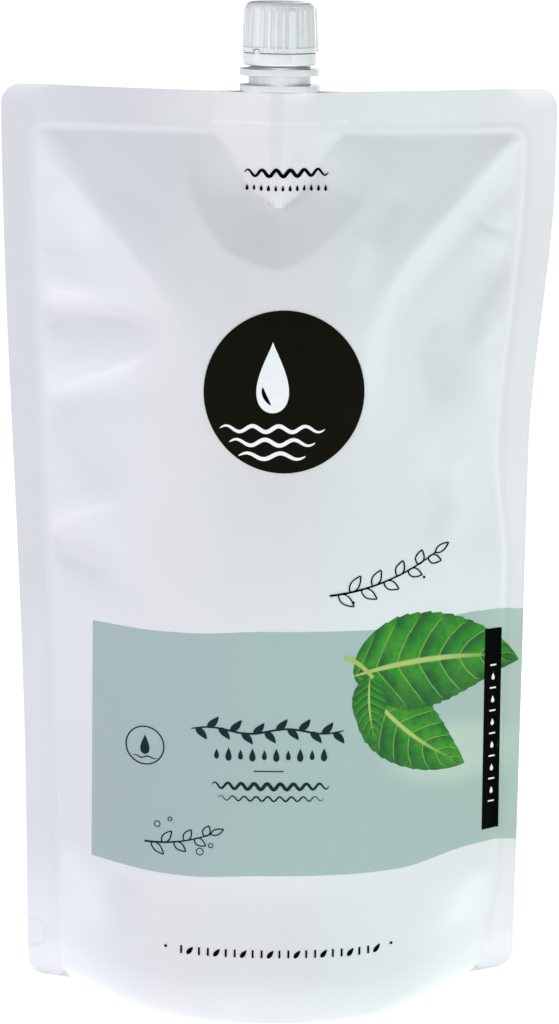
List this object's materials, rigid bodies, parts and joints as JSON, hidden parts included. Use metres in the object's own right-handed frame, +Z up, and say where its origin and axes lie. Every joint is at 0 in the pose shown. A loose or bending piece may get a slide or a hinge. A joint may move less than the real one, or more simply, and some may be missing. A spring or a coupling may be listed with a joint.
{
  "type": "hand soap refill pack",
  "caption": "Filled stand-up film pouch with welded side and top seals, a folded base gusset and a top spout closed by a tamper band and a ribbed screw cap.",
  "frame": {"origin": "centre of the bounding box's base, on the floor under the spout's axis", "axes": "+Z up along the spout's axis, +X across the width, -Y out of the front panel"},
  "size_m": [0.175, 0.0654, 0.3207],
  "materials": {
    "film": "matte white laminate of paper and film",
    "spout": "natural translucent plastic, smooth moulded",
    "closure": "natural translucent plastic, smooth moulded"
  },
  "bodies": {
    "pack": {"pouch": "film", "spout": "spout"},
    "ring": {"tamper_band": "closure"},
    "closure": {"cap": "closure"}
  },
  "joints": [
    {"name": "cap_turn", "type": "hinge", "parent": "pack", "child": "ring", "pos_m": [0, 0, 0.301], "axis": [0, 0, 1], "range_deg": [0, 540]},
    {"name": "cap_lift", "type": "slide", "parent": "ring", "child": "closure", "axis": [0, 0, 1], "range_m": [0, 0.03]}
  ]
}
